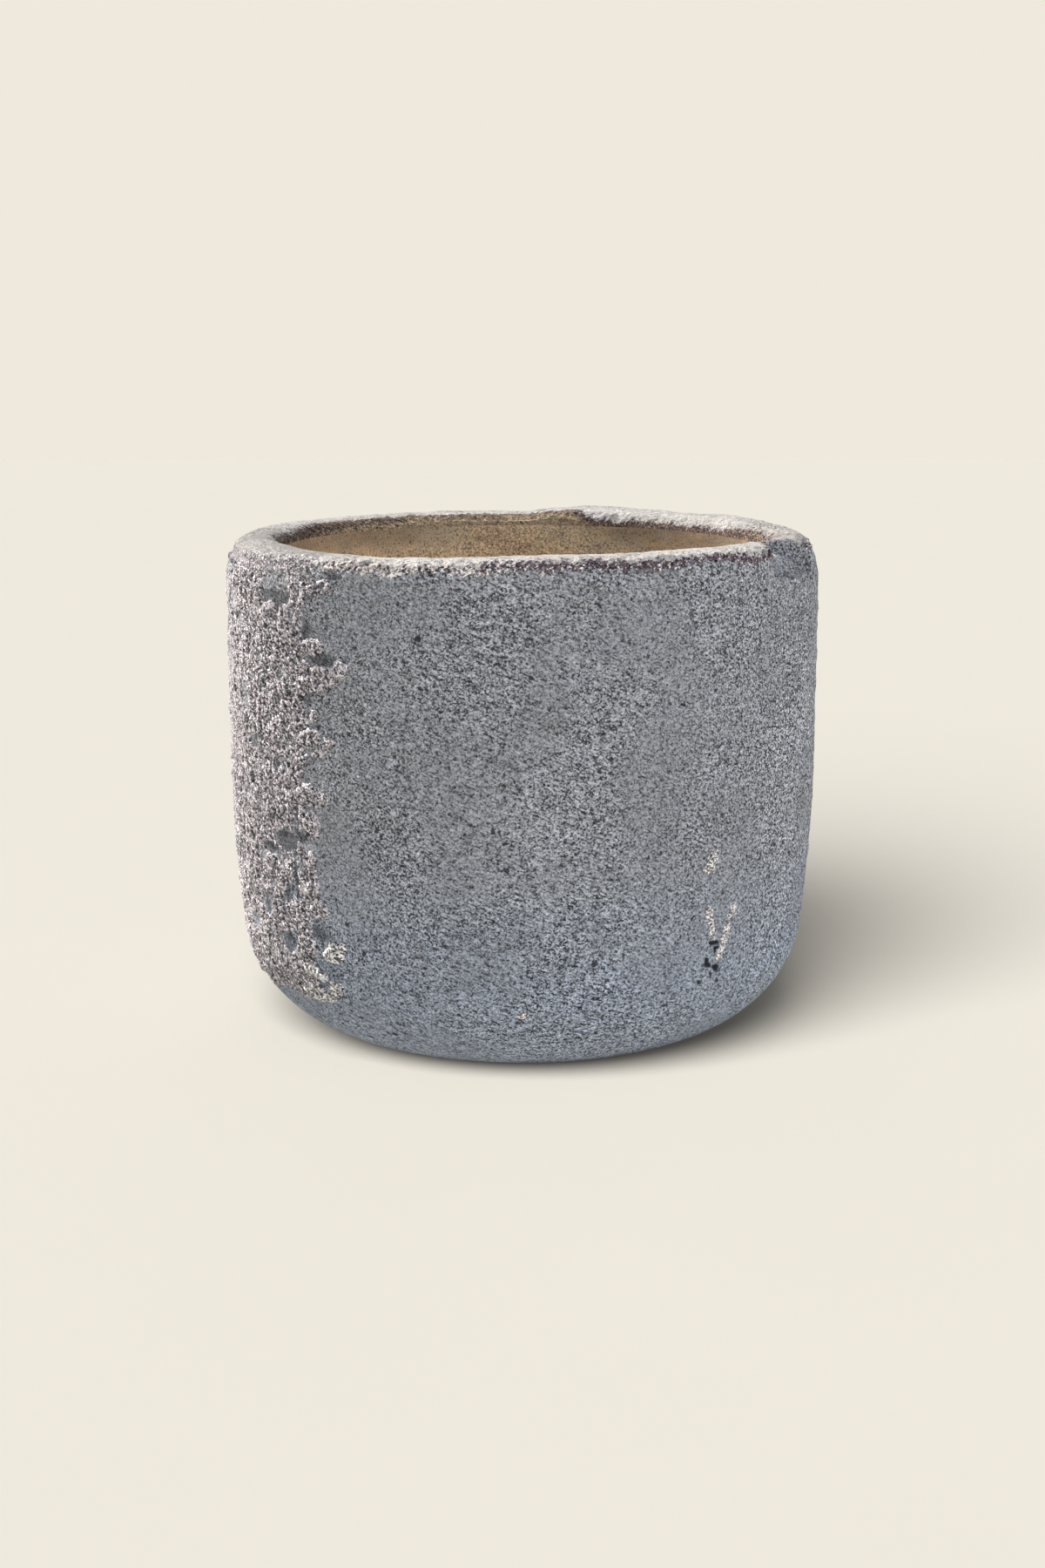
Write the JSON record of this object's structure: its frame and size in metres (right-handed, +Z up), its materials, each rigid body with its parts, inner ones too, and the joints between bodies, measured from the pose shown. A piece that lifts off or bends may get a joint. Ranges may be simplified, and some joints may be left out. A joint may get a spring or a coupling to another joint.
{
  "type": "concrete planter",
  "caption": "Round open planter of hand-worked concrete: thick rough rim, softly bowed wall, rounded foot, smooth inner lining and a central drain.",
  "frame": {"origin": "centre of the foot, on the floor", "axes": "+Z up, +X to the right and +Y away from the viewer of the picture"},
  "size_m": [0.56, 0.56, 0.47],
  "materials": {
    "coarse_concrete": "coarse hand-worked grey concrete with pits and sand grain",
    "rim_concrete": "pale, worn, granular concrete",
    "smooth_render": "smooth tan cement render with fine pores",
    "galvanised_wire": "dull zinc-coated wire",
    "drain_plastic": "matt extruded plastic pipe"
  },
  "bodies": {
    "root": {"inner_shell": "smooth_render", "wall_coat": "coarse_concrete", "rim_coping": "rim_concrete", "foot_slab": "coarse_concrete", "drain_sleeve": "drain_plastic", "rim_hoop": "galvanised_wire", "shoulder_hoop": "galvanised_wire", "upper_hoop": "galvanised_wire", "waist_hoop": "galvanised_wire", "lower_hoop": "galvanised_wire", "foot_hoop": "galvanised_wire", "upright_bar_1": "galvanised_wire", "upright_bar_2": "galvanised_wire", "upright_bar_3": "galvanised_wire", "upright_bar_4": "galvanised_wire", "upright_bar_5": "galvanised_wire", "upright_bar_6": "galvanised_wire", "upright_bar_7": "galvanised_wire", "upright_bar_8": "galvanised_wire", "upright_bar_9": "galvanised_wire", "upright_bar_10": "galvanised_wire", "upright_bar_11": "galvanised_wire", "upright_bar_12": "galvanised_wire"}
  },
  "joints": []
}
